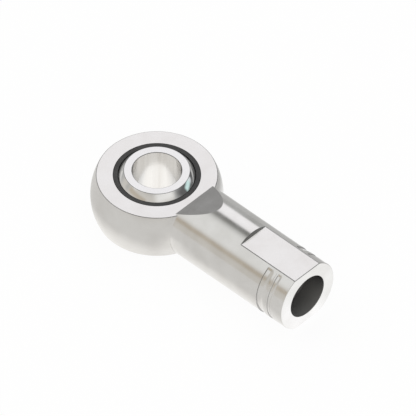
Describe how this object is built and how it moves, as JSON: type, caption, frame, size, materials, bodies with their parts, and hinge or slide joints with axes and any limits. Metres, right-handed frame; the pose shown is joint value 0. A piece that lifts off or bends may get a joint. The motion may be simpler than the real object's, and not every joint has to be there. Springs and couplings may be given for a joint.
{
  "type": "rod end bearing",
  "caption": "Rod end bearing: a swivelling hollow ball in a round eye, on a round shank with wrench flats and a tapped end.",
  "frame": {"origin": "the ball's centre, halfway along its bore", "axes": "+Z along the ball's bore, +X from the eye along the shank to its tapped end, +Y across the eye"},
  "size_m": [0.0524, 0.0254, 0.0146],
  "materials": {
    "polished_steel": "turned and polished steel, thin clear zinc plate",
    "race_steel": "ground bearing steel",
    "woven_liner": "woven low-friction cloth, bonded",
    "ball_chrome": "hard chrome plated and lapped",
    "seal_rubber": "moulded black rubber, matt"
  },
  "bodies": {
    "housing": {"rod_end_body": "polished_steel", "race_upper": "race_steel", "race_lower": "race_steel", "liner_upper": "woven_liner", "liner_lower": "woven_liner"},
    "seal_rings": {"seal_upper": "seal_rubber", "seal_lower": "seal_rubber"},
    "ball": {"ball": "ball_chrome"}
  },
  "joints": [
    {"name": "ball_spin", "type": "hinge", "parent": "housing", "child": "seal_rings", "pos_m": [0, 0, 0], "axis": [0, 0, 1], "continuous": true},
    {"name": "ball_tilt", "type": "hinge", "parent": "seal_rings", "child": "ball", "pos_m": [0, 0, 0], "axis": [0, 1, 0], "range_deg": [-10, 10]}
  ]
}
